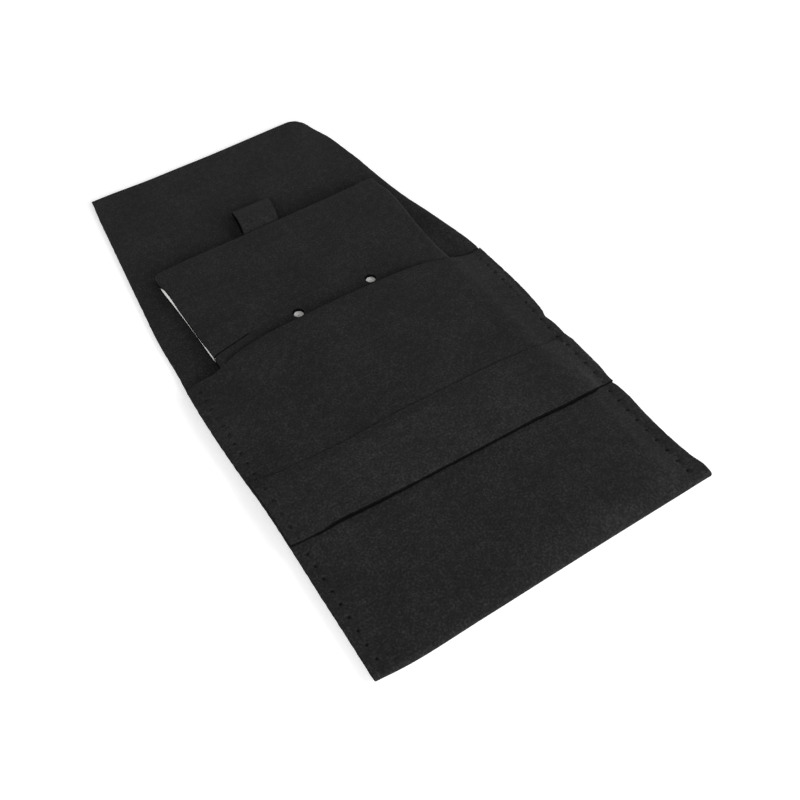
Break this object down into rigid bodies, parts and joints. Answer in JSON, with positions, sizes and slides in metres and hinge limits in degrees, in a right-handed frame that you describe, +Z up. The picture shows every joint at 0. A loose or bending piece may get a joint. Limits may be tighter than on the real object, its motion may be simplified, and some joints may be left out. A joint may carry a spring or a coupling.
{
  "type": "jewelry pouch",
  "caption": "Soft flat jewelry pouch with a folded pocket, a tapered flap, a strap across the front and a drawn-out earring insert with a pull tab.",
  "frame": {"origin": "under the middle of the whole open pouch, on the surface that it lies on", "axes": "+X across the pouch, +Y from the bottom fold towards the flap's end, +Z up from the surface that it lies on"},
  "size_m": [0.1, 0.189, 0.0061],
  "materials": {
    "pouch_cloth": "black microfibre suede with a short nap",
    "strap_cloth": "black microfibre suede, cut edges",
    "insert_cloth": "black microfibre suede glued to board",
    "insert_board": "white die-cut board, matt",
    "sewing_thread": "black polyester thread"
  },
  "bodies": {
    "pouch": {"back_panel": "pouch_cloth", "bottom_fold": "pouch_cloth", "front_panel": "pouch_cloth", "flap_base": "pouch_cloth", "closing_strap": "strap_cloth", "left_seam_thread": "sewing_thread", "right_seam_thread": "sewing_thread"},
    "flap_tip": {"flap_end": "pouch_cloth"},
    "insert": {"insert_back_cover": "insert_cloth", "insert_core_board": "insert_board", "insert_front_cover": "insert_cloth", "pull_tab": "insert_cloth"}
  },
  "joints": [
    {"name": "flap_end_fold", "type": "hinge", "parent": "pouch", "child": "flap_tip", "pos_m": [0, 0.066, 0.0025], "axis": [1, 0, 0], "range_deg": [0, 175]},
    {"name": "insert_slide", "type": "slide", "parent": "pouch", "child": "insert", "axis": [0, 1, 0], "range_m": [-0.054, 0]}
  ]
}
